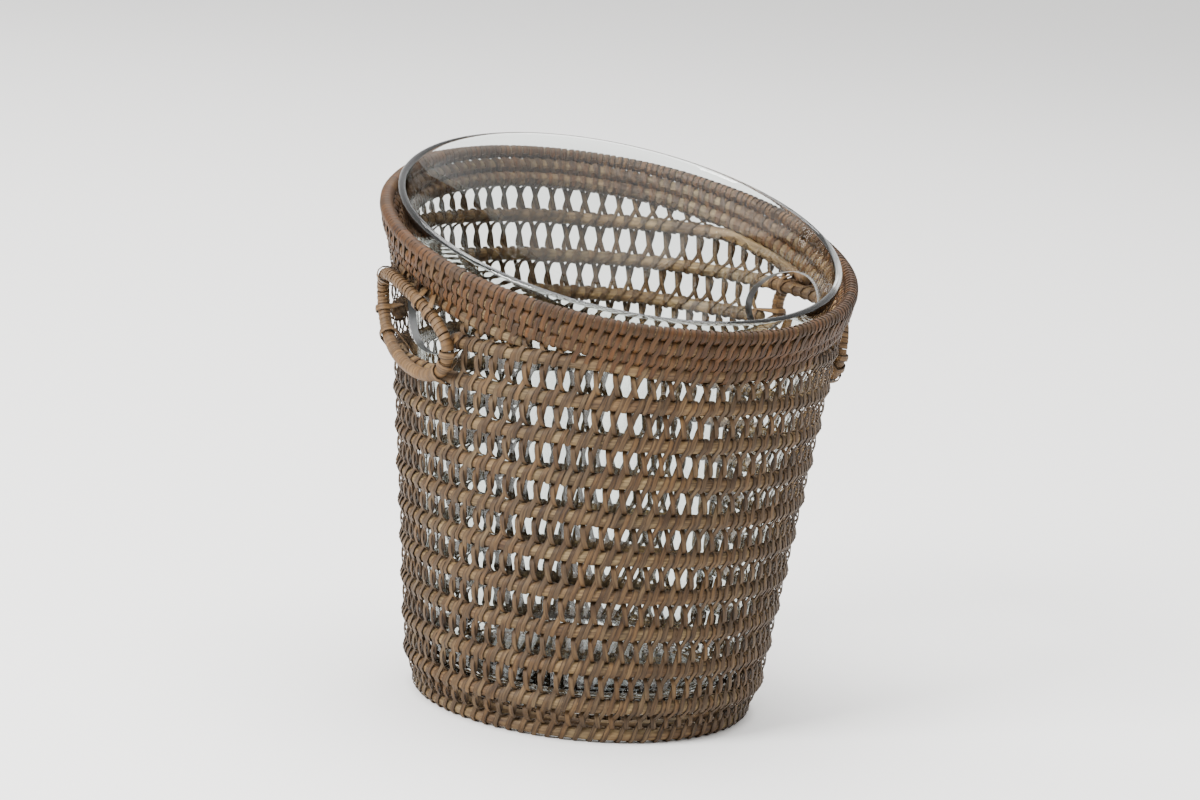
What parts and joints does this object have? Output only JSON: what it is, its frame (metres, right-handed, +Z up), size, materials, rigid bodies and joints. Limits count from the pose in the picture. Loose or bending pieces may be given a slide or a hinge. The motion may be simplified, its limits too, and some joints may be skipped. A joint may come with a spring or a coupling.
{
  "type": "rattan champagne bucket",
  "caption": "Tapered open-laced rattan champagne bucket with a slanted bound rim, lashed ring handles and a clear glass liner that lifts out.",
  "frame": {"origin": "on the floor, under the middle of the whole bucket's box", "axes": "+Z up, +Y towards the high side of the slanted rim, +X towards the right handle"},
  "size_m": [0.2556, 0.2514, 0.2853],
  "materials": {
    "rods": "matte natural cane",
    "lacing": "satin split cane",
    "wrapping": "satin split cane",
    "glass": "clear polished"
  },
  "bodies": {
    "basket": {"base_rod": "rods", "row_01_rod": "rods", "row_02_rod": "rods", "row_03_rod": "rods", "row_04_rod": "rods", "row_05_rod": "rods", "row_06_rod": "rods", "row_07_rod": "rods", "row_08_rod": "rods", "row_09_rod": "rods", "row_10_front": "rods", "row_10_back": "rods", "row_11_rod": "rods", "row_12_rod": "rods", "row_13_rod": "rods", "border_rod": "rods", "rim_rod": "rods", "base_coil_1": "rods", "base_coil_2": "rods", "base_coil_3": "rods", "base_coil_4": "rods", "base_centre": "rods", "lacing_01": "lacing", "lacing_02": "lacing", "lacing_03": "lacing", "lacing_04": "lacing", "lacing_05": "lacing", "lacing_06": "lacing", "lacing_07": "lacing", "lacing_08": "lacing", "lacing_09": "lacing", "lacing_10_front": "lacing", "lacing_10_back": "lacing", "lacing_11_back": "lacing", "lacing_12": "lacing", "lacing_13": "lacing", "border_lacing": "lacing", "border_lacing_lower": "lacing", "base_lacing_1": "lacing", "base_lacing_2": "lacing", "base_lacing_3": "lacing", "rim_wrap": "wrapping", "handle_ring_right": "wrapping", "handle_ring_left": "wrapping", "tie_right_top_front": "wrapping", "tie_right_top_back": "wrapping", "tie_right_bottom_front": "wrapping", "tie_right_bottom_back": "wrapping", "tie_left_top_front": "wrapping", "tie_left_top_back": "wrapping", "tie_left_bottom_front": "wrapping", "tie_left_bottom_back": "wrapping"},
    "liner": {"glass_liner": "glass"}
  },
  "joints": [
    {"name": "liner_lift", "type": "slide", "parent": "basket", "child": "liner", "axis": [0, 0, 1], "range_m": [0, 0.29]}
  ]
}
